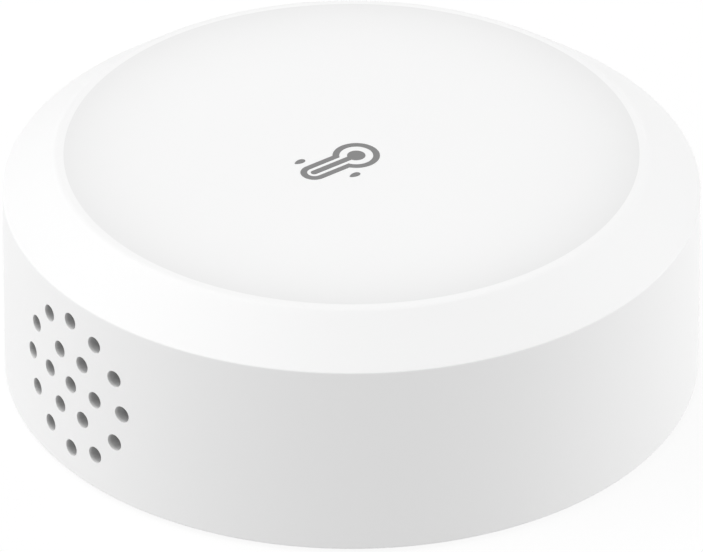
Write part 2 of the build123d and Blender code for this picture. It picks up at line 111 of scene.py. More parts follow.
# %% Lamps
lamp_reach = 1000.0
lamps = [          # name, turn from the camera, rise, width, height, brightness of its face
    ("left", -60, 20, 1.2, 0.6, 1.10),
    ("right", 90, 20, 1.2, 0.6, 2.67),
    ("high_left", -90, 55, 1.0, 0.8, 2.27),
]
for name, turn, rise, width, height, face in lamps:
    data = bpy.data.lights.new(name, "AREA")
    data.shape = "RECTANGLE"
    data.size, data.size_y = width, height
    data.energy = face * pi * width * height
    placed(name, data, 0, camera_turn + radians(turn), radians(rise), lamp_reach)
    print("lamp", name, round(data.energy, 2), "W")

# %% [markdown]
# ## Helpers for materials
#
# Reckoning in a material takes one Math node for every sign, which is long to write and hard to
# read. So a socket is wrapped in a class that is written like a number: a + b adds an Add node
# and gives its output. Another helper makes a node group, the place for an effect that many
# finishes share, such as moulded grain: it is built once, and each material gives it its values.

# %% Sockets that are written like numbers
def reckon(operation, *values):
    """Result of one Math node on values, which are sockets or plain numbers."""
    return made("Math", dict(enumerate(values)), operation=operation)


class Value:
    """Output of a node; each sign adds one Math node to its tree."""

    def __init__(self, socket):
        self.socket, self.tree = socket, socket.id_data

    __add__ = __radd__ = lambda self, other: reckon("ADD", self, other)
    __mul__ = __rmul__ = lambda self, other: reckon("MULTIPLY", self, other)
    __sub__ = lambda self, other: reckon("SUBTRACT", self, other)
    __rsub__ = lambda self, other: reckon("SUBTRACT", other, self)
    __truediv__ = lambda self, other: reckon("DIVIDE", self, other)
    __rtruediv__ = lambda self, other: reckon("DIVIDE", other, self)
    __pow__ = lambda self, other: reckon("POWER", self, other)
    __gt__ = lambda self, other: reckon("GREATER_THAN", self, other)
    __lt__ = lambda self, other: reckon("LESS_THAN", self, other)
    __abs__ = lambda self: reckon("ABSOLUTE", self)


def add(tree, kind, inputs={}, **settings):
    """Node of one kind with its settings; an input is a plain value or another node's output."""
    node = tree.nodes.new("ShaderNode" + kind)
    for name, value in settings.items():
        setattr(node, name, value)
    for key, value in inputs.items():
        if isinstance(value, Value):
            tree.links.new(value.socket, node.inputs[key])
        else:
            node.inputs[key].default_value = value
    return node


def out(node, key=0):
    """One output of a node, by its number or its name."""
    return Value(node.outputs[key])


def made(kind, inputs, key=0, **settings):
    """Output of a new node, which is added to the tree that its inputs come from."""
    tree = next(value.tree for value in inputs.values() if isinstance(value, Value))
    return out(add(tree, kind, inputs, **settings), key)


def limited(value):
    """The value, kept between 0 and 1 by the node that makes it."""
    value.socket.node.use_clamp = True
    return value


# %% Groups and materials
def new_group(name, **inputs):
    """Node group and its inputs: a default of 4 numbers makes a colour, 3 a vector, and 1 a number."""
    tree = bpy.data.node_groups.new(name, "ShaderNodeTree")
    for label, value in inputs.items():
        kind = {1: "Float", 3: "Vector", 4: "Color"}[np.size(value)]
        socket = tree.interface.new_socket(label, in_out="INPUT", socket_type="NodeSocket" + kind)
        socket.default_value = value
    given = tree.nodes.new("NodeGroupInput")
    return [tree] + [out(given, label) for label in inputs]


def give(tree, **results):
    """Outputs of a group: Colour is a colour, Normal a vector, and any other name a number."""
    for label in results:
        kind = {"Colour": "Color", "Normal": "Vector"}.get(label, "Float")
        tree.interface.new_socket(label, in_out="OUTPUT", socket_type="NodeSocket" + kind)
    ends = tree.nodes.new("NodeGroupOutput").inputs
    for label, value in results.items():
        tree.links.new(value.socket, ends[label])


def use(tree, group, **inputs):
    """One use of a group in a material, with its own values; gives its outputs by name."""
    node = add(tree, "Group", inputs, node_tree=group)
    return {socket.name: Value(socket) for socket in node.outputs}


def new_material(name):
    """Empty material, and its node tree."""
    material = bpy.data.materials.new(name)
    material.use_nodes = True
    material.node_tree.nodes.clear()
    return material, material.node_tree


def covered(material, shader):
    """The material, with a shader as its surface."""
    add(material.node_tree, "OutputMaterial", {"Surface": shader})
    return material


def coated(material, look, **values):
    """The material, with a Principled shader as its surface: it takes the colour, roughness and normal
    of a group's look, and values of its own, where _ stands for a space."""
    inputs = {{"Colour": "Base Color"}.get(name, name): value for name, value in look.items()}
    inputs.update((name.replace("_", " "), value) for name, value in values.items())
    return covered(material, out(add(material.node_tree, "BsdfPrincipled", inputs)))


def either(share, first, second):
    """The first shader where the share is 0, the second where it is 1."""
    return made("MixShader", {0: share, 1: first, 2: second})


def white(level):
    """Opaque grey of a level, which is white at 1."""
    return (level, level, level, 1.0)


# %% [markdown]
# ## The white table and the white room
#
# Behind the real puck everything is pure white, with no horizon. Light can make a floor that
# white, but then it would burn out the puck too. Here the camera, and mirror-like reflections,
# see a floor and a world of plain white, by the Light Path node. The other rays, which light the
# puck, meet a pale floor under the lamps. A share of the lit floor stays in what the camera sees,
# so the puck keeps a faint shadow under its edge. The floor is a one-sided sheet: from below it
# is clear, so that the underside can be looked at.

# %% World
def seen_plainly(tree):
    """1 for what the camera, a mirror or clear glass looks at, 0 for the light that falls on things."""
    rays = add(tree, "LightPath")
    seen = reckon("MAXIMUM", out(rays, "Is Camera Ray"), out(rays, "Is Glossy Ray"))
    return reckon("MAXIMUM", seen, out(rays, "Is Transmission Ray"))


room_level = 0.43
scene.world = bpy.data.worlds.new("white room")
scene.world.use_nodes = True
tree = scene.world.node_tree
tree.nodes.clear()
lighting, shown = (out(add(tree, "Background", {"Color": white(1.0), "Strength": level}))
                   for level in (room_level, 1.0))
add(tree, "OutputWorld", {"Surface": either(seen_plainly(tree), lighting, shown)})


# %% Meshes from arrays
sharp_from = radians(30)
weld_distance, flat_distance = 1e-7, 1e-9    # metres


def box_of(node):
    """Low and high corner of a CAD node's box, in millimetres."""
    return [np.array(corner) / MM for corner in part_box(node)]


def write_mesh(name, points, faces):
    """Mesh object from an array of points in millimetres and a list of faces."""
    mesh = bpy.data.meshes.new(name)
    mesh.from_pydata((points * MM).tolist(), [], [list(face) for face in faces])
    piece = bpy.data.objects.new(name, mesh)
    scene.collection.objects.link(piece)
    return piece


def grid_faces(rows, columns):
    """Quads between the rows of a grid, numbered row by row; its last column joins its first."""
    row = np.arange(rows - 1)[:, None]
    column = np.arange(columns)[None, :]
    following = (column + 1) % columns
    here, above = row * columns, (row + 1) * columns
    corners = (here + column, here + following, above + following, above + column)
    return np.stack(corners, -1).reshape(-1, 4)


def circle(swing):
    """Points of a circle of radius 1: (cos t, sin t)."""
    return np.stack([np.cos(swing), np.sin(swing)], -1)


def polar(radius, turns, level):
    """Points at radii, turns and levels: (r cos t, r sin t, z)."""
    return np.stack([radius * np.cos(turns), radius * np.sin(turns), level + 0 * turns], -1)


def revolved(profile, columns):
    """Surface of revolution of a profile of radius and level, once round from -Y."""
    turns = -pi / 2 + np.arange(columns) * 2 * pi / columns
    return polar(profile[:, :1], turns, profile[:, 1:]).reshape(-1, 3), grid_faces(len(profile), columns)


def welded(piece):
    """Merge points that coincide, turn the faces outwards, and smooth all but the sharp edges."""
    work = bmesh.new()
    work.from_mesh(piece.data)
    bmesh.ops.remove_doubles(work, verts=work.verts, dist=weld_distance)
    bmesh.ops.dissolve_degenerate(work, edges=work.edges, dist=flat_distance)
    bmesh.ops.recalc_face_normals(work, faces=work.faces)
    open_edges = sum(1 for edge in work.edges if len(edge.link_faces) != 2)
    volume = work.calc_volume(signed=True) / MM ** 3
    work.to_mesh(piece.data)
    work.free()
    piece.data.shade_smooth()
    piece.data.set_sharp_from_angle(angle=sharp_from)
    print(piece.name, len(piece.data.polygons), "faces,", open_edges, "open edges,", round(volume, 2), "mm3")
    return piece


# %% Floor
floor_radii = np.array([4000.0, 500, 150, 60, 30, 0])   # from the outside in, so that it faces up
floor_drop = -0.02    # just clear of the base cover, so that the two never share a plane
floor_columns = 96
floor_shadow_share = 0.15    # how much of the lit floor, with its shadow, the camera sees
floor_colour, floor_glow = 0.86, 0.62
floor_profile = np.stack([floor_radii, floor_drop + 0 * floor_radii], -1)
floor = write_mesh("floor", *revolved(floor_profile, floor_columns))
floor.data.shade_smooth()
material, tree = new_material("pale table")
plain, glow = (out(add(tree, "Emission", {"Color": white(1.0), "Strength": level}))
               for level in (1.0, floor_glow))
lit, pale = (out(add(tree, "BsdfDiffuse", {"Color": white(level)})) for level in (1.0, floor_colour))
both = either(seen_plainly(tree), either(floor_shadow_share, glow, pale),
              either(floor_shadow_share, plain, lit))
below = out(add(tree, "NewGeometry"), "Backfacing")
floor.data.materials.append(covered(material, either(below, both, out(add(tree, "BsdfTransparent")))))
print("floor faces up:", all(face.normal.z > 0 for face in floor.data.polygons))

# %% [markdown]
# ## The housing's section
#
# The housing is one moulding, turned about its axis but for the vents. Its section is a list of
# corners with small radii, as a mould maker draws it: a wall with 0.6 degrees of draft, a flat
# bevel, a narrow land, and a dish that starts level and rises to the land along a large circle.
# Every corner becomes an arc that touches both sides. Long sides are divided, with one short
# step at each end, so that smooth shading stays on the arcs and the flats stay flat.

# %% Sizes of the housing
bottom_radius = 25.0
wall_low = 0.3
wall_height = 14.5
draft = tan(radians(0.6))
bevel_width, bevel_height = 3.85, 2.85
rim_land = 0.55
dish_depth = 0.55
dish_flat_share = 0.45
edge_round, rim_round = 0.15, 0.8
crease_round = 1.5
wall, roof = 2.0, 1.8
mouth_lead = 0.3
bevel_low = wall_low + wall_height
rim_level = bevel_low + bevel_height
dish_level = rim_level - dish_depth
roof_level = dish_level - roof
shoulder_radius = bottom_radius - wall_height * draft
rim_radius = shoulder_radius - bevel_width
dish_radius = rim_radius - rim_land
dish_flat = dish_radius * dish_flat_share
dish_circle = ((dish_radius - dish_flat) ** 2 + dish_depth ** 2) / (2 * dish_depth)
print("rim at", round(rim_level, 3), "mm, and the CAD's at", round(box_of("housing")[1][2], 3), "mm")


# %% Section of the housing
def outer_radius(level):
    """The wall leans in by the draft as it rises."""
    return bottom_radius - (level - wall_low) * draft


def inner_radius(level):
    """The wall is equally thick all the way up."""
    return outer_radius(level) - wall


def dish_height(radius):
    """Flat in the middle; beyond it, R - sqrt(R^2 - (r - flat)^2) above the flat."""
    beyond = np.maximum(0.0, np.asarray(radius) - dish_flat)
    return dish_level + dish_circle - np.sqrt(dish_circle ** 2 - beyond ** 2)


def rounded(points, radii, steps=6):
    """Corners made arcs: each starts radius * tan(half the turn) before its corner, and turns about
    a centre one radius to the side that the section turns to."""
    points = np.asarray(points, float)
    rows = [points[:1]]
    for before, corner, after, radius in zip(points[:-2], points[1:-1], points[2:], radii):
        into = (corner - before) / np.hypot(*(corner - before))
        out = (after - corner) / np.hypot(*(after - corner))
        turn = atan2(into[0] * out[1] - into[1] * out[0], into @ out)
        side = np.sign(turn) * np.array([-into[1], into[0]])
        centre = corner - into * radius * tan(abs(turn) / 2) + side * radius
        swing = np.linspace(0, turn, steps + 1 if radius else 1)
        across, along = -side * radius, abs(radius) * into
        rows.append(centre + np.cos(swing)[:, None] * across + np.abs(np.sin(swing))[:, None] * along)
    return np.concatenate(rows + [points[-1:]])


def divided(section, step, near=0.04):
    """Sides longer than a step are cut into equal parts, with one short part at each end."""
    sides = np.diff(section, axis=0)
    lengths = np.hypot(*sides.T)
    rows = []
    for start, side, length in zip(section, sides, lengths):
        shares = np.linspace(0, 1, max(2, int(np.ceil(length / step)) + 1))[:-1]
        if length > 8 * near:
            shares = np.concatenate([[0, near / length], shares[1:], [1 - near / length]])
        rows.append(start + shares[:, None] * side)
    return np.concatenate(rows + [section[-1:]])


outer_step, inner_step, flat_step = 0.45, 1.1, 0.9    # how long a divided side's parts may be
dish_steps = np.linspace(dish_radius, dish_flat, 24)
dish_curve = np.stack([dish_steps, dish_height(dish_steps)], -1)
lead_level = wall_low + mouth_lead
mouth_radius = inner_radius(lead_level) + mouth_lead
corners = [(mouth_radius, wall_low), (bottom_radius, wall_low), (shoulder_radius, bevel_low),
           (rim_radius, rim_level), dish_curve[0], dish_curve[1]]
outer_edge = rounded(corners, [edge_round, edge_round, rim_round, crease_round])[:-1]
outer_section = np.concatenate([divided(outer_edge, outer_step), dish_curve[1:],
                                divided(np.array([dish_curve[-1], (0, dish_level)]), flat_step)[1:]])

bevel_run = hypot(bevel_width, bevel_height)
out_share, up_share = bevel_height / bevel_run, bevel_width / bevel_run
turn_level = bevel_low - wall * (1 - out_share) / (up_share - out_share * draft)
roof_radius = shoulder_radius - (wall + up_share * (roof_level - bevel_low)) / out_share
inner_corners = [(0, roof_level), (roof_radius, roof_level), (inner_radius(turn_level), turn_level),
                 (inner_radius(lead_level), lead_level), (mouth_radius, wall_low)]
inner_section = divided(np.array(inner_corners), inner_step)
print("outer section", len(outer_section), "points, inner section", len(inner_section), "points")

# %% [markdown]
# ## Vents through a curved wall
#
# The vents are moulded by pins that slide straight in, so all 19 bores are parallel cylinders
# while the wall is a cone. A boolean cut would leave long thin faces and uneven shading. Here
# the wall is a grid of turn and level, and a patch of it is drawn again: the outline of each
# vent, two rings round it, and the grid's own points further off, joined by a Delaunay
# triangulation in the unrolled wall. The patch keeps the grid's points on its border, so the two
# weld together, and the bores join the outer patch to the inner one.

# %% Places of the vents
vent_radius, vent_pitch = 0.625, 2.63
vent_level = wall_low + 7.38
vents = np.concatenate([[(0.0, 0.0)]] + [vent_pitch * ring * circle(np.arange(6 * ring) * 2 * pi / (6 * ring))
                                         for ring in (1, 2)]) + (0, vent_level)
print(len(vents), "vents of", 2 * vent_radius, "mm, from level", round(vents[:, 1].min(), 2), "to",
      round(vents[:, 1].max(), 2))

# %% Wall with vents
columns = 360
patch_half = 17         # columns to each side of the vents' middle
vent_sides = 48
vent_rings = ((0.1, vent_sides), (0.25, vent_sides // 2))     # how much wider, and their points
ring_margin, grid_clearance = 0.06, 0.45
bore_rows = 6
on_line = 1e-6          # how close a section's point is to a wall's line when it lies on it


def vent_outline(radius_at, grow=0.0, sides=vent_sides, start=0.0):
    """Where each bore, made wider by grow, meets a wall: x and z run round the bore's circle, and
    the turn is the arc sine of x over the wall's radius at that level."""
    swing = start + np.arange(sides) * 2 * pi / sides
    across, level = np.moveaxis(vents[:, None] + (vent_radius + grow) * circle(swing), -1, 0)
    return np.arcsin(across / radius_at(level)), level


def on_wall(turn, level, radius_at):
    """Point of a wall at a turn from -Y towards +X: (R sin t, -R cos t, z)."""
    radius = radius_at(level)
    return np.stack([radius * np.sin(turn), -radius * np.cos(turn), level], -1)


def off_vents(across, level):
    """Distance, seen along Y, from the middle of the nearest vent."""
    return np.hypot(across[..., None] - vents[:, 0], level[..., None] - vents[:, 1]).min(-1)


def closed_loop(first, count):
    """Edges of a closed loop of points, which are numbered on from the first."""
    index = first + np.arange(count)
    return np.stack([index, np.roll(index, -1)], -1)


def triangulated(points, edges):
    """Delaunay triangulation of flat points that keeps the edges: its points and triangles."""
    points, edges = [Vector(point) for point in points], np.concatenate(edges).tolist()
    spots, _, faces, *_ = delaunay_2d_cdt(points, edges, [], 0, weld_distance)
    return np.array([tuple(spot) for spot in spots]), np.array(faces)


def drilled_patch(levels, radius_at):
    """Patch of a wall over the grid's middle columns, with the vents left open."""
    turns = np.radians(np.arange(-patch_half, patch_half + 1) * 360 / columns)
    turn, level = np.meshgrid(turns, levels)
    grid, inner = np.stack([turn, level], -1), (slice(1, -1), slice(1, -1))
    border = np.concatenate([grid[0], grid[1:, -1], grid[-1, -2::-1], grid[-2:0:-1, 0]])
    flat, edges = [border, *np.stack(vent_outline(radius_at), -1)], [closed_loop(0, len(border))]
    edges += [closed_loop(len(border) + vent * vent_sides, vent_sides) for vent in range(len(vents))]
    for grow, sides in vent_rings:
        ring = np.stack(vent_outline(radius_at, grow, sides, pi / vent_sides), -1).reshape(-1, 2)
        within = (ring[:, 1] > levels.min() + ring_margin) & (ring[:, 1] < levels.max() - ring_margin)
        flat.append(ring[within])
    clear = off_vents(radius_at(level) * np.sin(turn), level) > vent_radius + grid_clearance
    flat.append(grid[inner][clear[inner]])
    spots, faces = triangulated(np.concatenate(flat) * (bottom_radius, 1), edges)
    points = on_wall(spots[:, 0] / bottom_radius, spots[:, 1], radius_at)
    middle = points[faces].mean(1)
    return points, faces[off_vents(middle[:, 0], middle[:, 2]) > vent_radius - on_line]


def drilled_wall(section, radius_at, low, high):
    """Surface of revolution whose middle columns, between two levels, are a drilled patch."""
    points, faces = revolved(section, columns)
    radius, level = section.T
    rows = np.flatnonzero((np.abs(radius - radius_at(level)) < on_line) & (level > low) & (level < high))
    row, column = faces[:, 0] // columns, faces[:, 0] % columns
    cut = (row >= rows.min()) & (row < rows.max())
    cut &= (column < patch_half) | (column >= columns - patch_half)
    return [(points, faces[~cut]), drilled_patch(np.sort(level[rows]), radius_at)]


def vent_bores():
    """Wall of each bore: straight lines along Y from the outer outline to the inner one."""
    ends = [on_wall(*vent_outline(radius_at), radius_at) for radius_at in (outer_radius, inner_radius)]
    share = np.linspace(0, 1, bore_rows)[:, None, None]
    return [(((1 - share) * first + share * last).reshape(-1, 3), grid_faces(bore_rows, vent_sides))
            for first, last in zip(*ends)]


def at_level(flat, level):
    """Flat points, with the same level for all as their height."""
    return np.column_stack([flat, np.full(len(flat), level)])


def joined(name, parts):
    """One mesh from several lists of points and faces."""
    starts = np.cumsum([0] + [len(points) for points, _ in parts]).tolist()
    faces = [[int(index) + start for index in face]
             for (_, group), start in zip(parts, starts) for face in group]
    return write_mesh(name, np.concatenate([points for points, _ in parts]), faces)


shell_parts = drilled_wall(outer_section, outer_radius, wall_low + edge_round, bevel_low - edge_round / 2)
shell_parts += drilled_wall(inner_section, inner_radius, wall_low, bevel_low)
shell_parts += vent_bores()
print("shell of", len(shell_parts), "surfaces")

# %% [markdown]
# ## Ribs, bosses and ledges inside the housing
#
# The inside of a moulding carries everything: three ledges that the cover's hooks lie over, three
# screw bosses, four rests for the board, two pins and the walls of the sensing chamber. Each one
# is a section that is carried along a path, so one helper closes any row of sections into a
# solid, and the end sections are a little smaller, which chamfers the edges. The roots reach into
# the wall and the roof, as in one moulding, so that no gap shows.

# %% Closed solids from sections
rib, chamfer = 1.0, 0.08


def closed_row(rings):
    """Solid from sections with as many points each: sides between them and a face on both ends."""
    count, points = rings.shape[:2]
    last = (count - 1) * points
    ends = [list(range(points))[::-1], list(range(last, last + points))]
    return rings.reshape(-1, 3), grid_faces(count, points).tolist() + ends


def shrunk(section, margin):
    """Closed section with every side moved inwards: each corner goes along the sum of its two sides'
    normals, divided by one plus the cosine between them."""
    side = np.roll(section, -1, 0) - section
    normal = np.stack([-side[:, 1], side[:, 0]], -1) / np.hypot(*side.T)[:, None]
    inwards = np.sign((section[:, 0] * side[:, 1] - section[:, 1] * side[:, 0]).sum())
    before = np.roll(normal, 1, 0)
    return section + inwards * margin * (normal + before) / (1 + (normal * before).sum(-1, keepdims=True))


def turned_row(sections, turns):
    """Solid through sections of radius and level, one for each turn in degrees."""
    radius, level = np.moveaxis(np.asarray(sections), -1, 0)
    return closed_row(polar(radius, np.radians(turns)[:, None], level))


def turned_bar(section, start, sweep, steps=16):
    """One section carried round the axis, smaller at both ends."""
    edge = np.degrees(chamfer / section[:, 0].mean())
    turns = np.concatenate([[start], np.linspace(start + edge, start + sweep - edge, steps), [start + sweep]])
    return turned_row([shrunk(section, chamfer)] + [section] * steps + [shrunk(section, chamfer)], turns)


def upright_plate(section, angle):
    """Plate as thick as a rib, along a radius: its section of radius and level, moved sideways."""
    section = np.asarray(section, float)
    small, half, sine, cosine = shrunk(section, chamfer), rib / 2, sin(radians(angle)), cos(radians(angle))
    rows = [(-half, small), (chamfer - half, section), (half - chamfer, section), (half, small)]
    return closed_row(np.stack([np.stack([radius * cosine - side * sine, radius * sine + side * cosine,
                                          level], -1)
                                for side, (radius, level) in ((side, shape.T) for side, shape in rows)]))


def round_post(profile, angle, columns=36):
    """Surface of revolution whose own axis stands on the screws' circle."""
    middle = screw_circle * np.array([cos(radians(angle)), sin(radians(angle)), 0])
    points, faces = revolved(np.asarray(profile, float), columns)
    return points + middle, faces


# %% Ledges of the bayonet lock
ledge_low, ledge_high, ledge_width = 1.6, 2.8, 1.3
stop_height, ramp_length, ramp_drop = 1.4, 3.0, 0.5
lug_angles, lug_sweep = (90, 210, 330), 20
ledge_start, stop_start, ledge_end = -12, 11, 14      # degrees from a lug's middle
ledge_inner = inner_radius(ledge_low) - ledge_width
ledge_root = inner_radius(wall_low) + wall / 2
section = rounded([(ledge_root, ledge_low), (ledge_inner, ledge_low), (ledge_inner, ledge_high),
                   (ledge_root, ledge_high)], [edge_round] * 2, steps=3)
turns = np.concatenate([np.linspace(ledge_start, stop_start - 0.1, 36),
                        np.linspace(stop_start, ledge_end, 6)])[:, None]
radius, level = section.T
run = radius * np.sin(np.radians(turns - ledge_start))
rise = np.where(turns < stop_start, -ramp_drop * np.maximum(0, 1 - run / ramp_length), stop_height)
upper = level > (ledge_low + ledge_high) / 2
sections = np.stack([radius + 0 * rise, level + np.where(upper, rise, 0)], -1)
shell_parts += [turned_row(sections, turns[:, 0] + angle) for angle in lug_angles]
print("ledge from", round(ledge_inner, 2), "to the wall at", round(inner_radius(ledge_low), 2), "mm")

# %% Bosses, rests and pins
board_high, screw_circle = 9.5, 18.314
boss_radius, pilot_radius, pilot_high = 2.2, 1.05, 13.7
pin_radius, pin_root_radius, pin_low = 0.75, 1.4, 8.0
pin_tip_in, pin_tip_up = 0.2, 0.3
screw_angles, pin_angles, rest_angles = (70, 190, 310.05), (38, 233.14), (20, 150, 212, 345)
rest_inner, gusset_low = 20.214, board_high + 2.4
root_level, grip = roof_level + 0.25, 0.5     # how far the roots reach into the roof and the wall


def rib_section(inside, low):
    """Section that fills the corner between wall and roof, from a radius outwards and a level up."""
    return [(inside, low), (inner_radius(low) + grip, low), (inner_radius(turn_level) + grip, turn_level),
            (roof_radius + grip, root_level), (inside, root_level)]


def shoulder(radius):
    """Rest of a post's profile: its chamfered face under the board, its side and its root."""
    return [(radius - chamfer, board_high), (radius, board_high + chamfer), (radius, root_level),
            (0, root_level)]


boss = [(0, pilot_high), (pilot_radius, pilot_high), (pilot_radius, board_high + 2 * chamfer),
        (pilot_radius + 2 * chamfer, board_high)] + shoulder(boss_radius)
pin = [(0, pin_low), (pin_radius - pin_tip_in, pin_low), (pin_radius, pin_low + pin_tip_up),
       (pin_radius, board_high)] + shoulder(pin_root_radius)
gusset, rest = rib_section(screw_circle + boss_radius / 2, gusset_low), rib_section(rest_inner, board_high)
for make, section, angles in ((round_post, boss, screw_angles), (round_post, pin, pin_angles),
                              (upright_plate, gusset, screw_angles), (upright_plate, rest, rest_angles)):
    shell_parts += [make(section, angle) for angle in angles]
print(len(screw_angles), "bosses,", len(pin_angles), "pins and", len(rest_angles), "rests")

# %% Walls of the sensing chamber
gasket_high, chamber_half, chamber_back, chamber_front = 11.5, 7.785, 14.214, 21.9
chamber_corner = 1.3


def chamber_path(inset):
    """Three sides of a rectangle seen from above, open towards the vents, with rounded corners."""
    half, back = chamber_half - inset, chamber_back + inset
    return rounded([(half, -chamber_front), (half, -back), (-half, -back), (-half, -chamber_front)],
                   [chamber_corner - inset] * 2)


corners = [(chamfer, gasket_high), (0, gasket_high + chamfer), (0, root_level), (rib, root_level),
           (rib, gasket_high + chamfer), (rib - chamfer, gasket_high)]
rings = [at_level(chamber_path(inset), level) for inset, level in corners]
shell_parts.append(closed_row(np.stack(rings, 1)))
housing = welded(joined("housing_shell", shell_parts))
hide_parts("housing")
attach(housing, "housing")

# %% [markdown]
# ## The base cover
#
# The cover is a disc that is turned with a coin: a slot with round ends in the middle, a shallow
# recess for a sticky pad, a narrow foot ring that stands on the table, and a chamfer. Its shape
# is a polar grid. Most rings are circles, and the rings of the slot have a stadium's radius: half
# the width over the sine along its straight sides, and the far crossing with a circle round each
# end. Between the slot and the recess the rings pass from one outline to the other by shares.

# %% Sizes of the cover
base_thickness, base_chamfer = 1.5, 0.4
play = 0.3      # between the cover and the housing
base_radius = inner_radius(wall_low) - play
pad_radius, pad_depth = 17.5, 0.3
slot_half, slot_end, slot_depth = 1.1, 6.4, 1.2
slot_boss_radius, slot_boss_high = 9.5, 2.1
ring_radius, ring_high = 17.0, 2.5
soft = 0.08     # small rounding where a mould's edges meet


def stadium(turns, grow):
    """Radius of the slot's outline, made wider by grow: h / |sin t| on the sides, and
    a |cos t| + sqrt(h^2 - a^2 sin^2 t) round the ends."""
    half, sine, cosine = slot_half + grow, np.abs(np.sin(turns)), np.abs(np.cos(turns))
    straight = half / np.maximum(sine, 1e-9)
    end = slot_end * cosine + np.sqrt(np.maximum(0, half ** 2 - (slot_end * sine) ** 2))
    return np.where(straight * cosine < slot_end, straight, end)


# %% Grid of the cover
cover_columns, cover_step = 360, 1.5
turns = (np.arange(cover_columns) + 0.5) * 2 * pi / cover_columns
slot_edge = 0.3     # flat border round the slot, before the rings turn into circles
slot_core = 0.98    # share of its half width by which the slot's first ring is drawn in
slot_section = rounded([(-slot_half / 2, slot_depth), (0, slot_depth), (0, pad_depth),
                        (slot_edge, pad_depth)], [soft] * 2, steps=4)
rings = [(0 * turns, slot_depth), (stadium(turns, -slot_half * slot_core), slot_depth)]
rings += [(stadium(turns, grow), level) for grow, level in slot_section]
rings += [(stadium(turns, slot_edge) * (1 - share) + (pad_radius - soft) * share, pad_depth)
          for share in np.linspace(0.1, 0.95, 8)]
profile = rounded([(pad_radius - 2 * soft, pad_depth), (pad_radius, pad_depth), (pad_radius, 0),
                   (base_radius - base_chamfer, 0), (base_radius, base_chamfer),
                   (base_radius, base_thickness), (ring_radius, base_thickness), (ring_radius, ring_high),
                   (ring_radius - rib, ring_high), (ring_radius - rib, base_thickness),
                   (slot_boss_radius, base_thickness), (slot_boss_radius, slot_boss_high),
                   (0, slot_boss_high)], [soft] * 11, steps=4)
rings += [(radius + 0 * turns, level) for radius, level in divided(profile, cover_step)]
grid = np.stack([polar(radius, turns, level) for radius, level in rings])
cover_parts = [(grid.reshape(-1, 3), grid_faces(len(grid), cover_columns))]
print("the cover's grid:", grid.shape[:2])

# %% Hooks of the cover
hook_low, hook_high, post_wall = 2.9, 4.0, 0.9
post_outer = ledge_inner - play
post_inner, hook_outer = post_outer - post_wall, inner_radius(hook_high) - play
post_root = base_thickness / 2
section = rounded([(post_outer, post_root), (post_outer, hook_low), (hook_outer, hook_low),
                   (hook_outer, hook_high), (post_inner, hook_high), (post_inner, post_root)],
                  [0, edge_round, edge_round, edge_round], steps=3)
foot, back_face = ring_radius - rib / 2, post_inner + post_wall / 2
brace = [(foot, post_root), (back_face, post_root), (back_face, hook_low), (foot, ring_high)]
for angle in lug_angles:
    cover_parts.append(turned_bar(section, angle - lug_sweep / 2, lug_sweep))
    cover_parts += [upright_plate(brace, angle + side * lug_sweep / 4) for side in (-1, 1)]
cover = welded(joined("cover_plate", cover_parts))
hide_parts("base_cover")
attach(cover, "base")

# %% [markdown]
# ## The snap dome of the switch
#
# The pairing switch hangs under the board and is pressed upwards. In it a thin steel dome gives
# way, and springs back when the finger lets go. It is a cap of a hollow sphere: a cap of radius r
# and height h belongs to a ball of radius (r^2 + h^2) / 2h, and a smaller ball about the same
# centre makes the inside.

# %% Snap dome
dome_sheet, press_travel, dome_columns = 0.08, 0.25, 72
low, high = box_of("switch_dome")
dome_middle = np.append((low + high)[:2] / 2, 0)
dome_radius, dome_high = (high - low)[0] / 2, (high - low)[2]
ball = (dome_radius ** 2 + dome_high ** 2) / (2 * dome_high)
centre, hollow = low[2] + ball, ball - dome_sheet
caps = [(ball, np.linspace(0, asin(dome_radius / ball), 20)),
        (hollow, np.linspace(acos((ball - dome_high) / hollow), 0, 20))]
profile = np.concatenate([np.stack([size * np.sin(swing), centre - size * np.cos(swing)], -1)
                          for size, swing in caps])
points, faces = revolved(profile, dome_columns)
dome = welded(write_mesh("snap_dome", points + dome_middle, faces))
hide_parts("switch_dome")
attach(dome, "housing")
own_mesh(dome)

# %% [markdown]
# ## The printed thermometer
#
# A small grey thermometer with two drops is pad printed in the middle of the dish. It is a generic
# sign: a bulb with a stem, a filled column inside, and a drop on each side. Each outline is a
# closed loop of points. A triangulation of all the loops is kept where a point lies inside an odd
# number of them, so the ring stays open and the column is an island in it. The print has a real
# thickness, a hundredth of a millimetre, with a top, a bottom and a skirt, because a flat sheet on
# the plastic would flicker.

# %% Outlines of the print
mark_middle = (-0.131, -0.324)    # the bulb's centre; the second coordinate runs up the stem


def keyhole(bulb_radius, half_width, end_level, steps=72):
    """Round bulb with a stem: from where the stem leaves the bulb, round the bulb, and back over the
    stem's round end."""
    meet = asin(half_width / bulb_radius)
    bulb = bulb_radius * circle(np.linspace(pi / 2 - meet, -3 * pi / 2 + meet, steps))
    end = half_width * circle(np.linspace(pi, 0, steps // 2)) + (0, end_level)
    return np.concatenate([bulb, end]) + mark_middle


def droplet(middle, length=0.90, width=0.505, steps=48):
    """Drop with its point up: over t once round, it is cos t long and sin t sqrt(|sin(t / 2)|) wide."""
    swing = np.arange(steps) * 2 * pi / steps
    across = np.sin(swing) * np.sqrt(np.abs(np.sin(swing / 2)))
    return np.stack([across / across.max() * width / 2, np.cos(swing) * length / 2], -1) + middle


outlines = [keyhole(1.686, 0.993, 3.753), keyhole(1.213, 0.53, 3.735), keyhole(0.653, 0.249, 3.768),
            droplet((-2.148, 1.377)), droplet((1.641, 3.377))]
print("outlines of", [len(loop) for loop in outlines], "points")


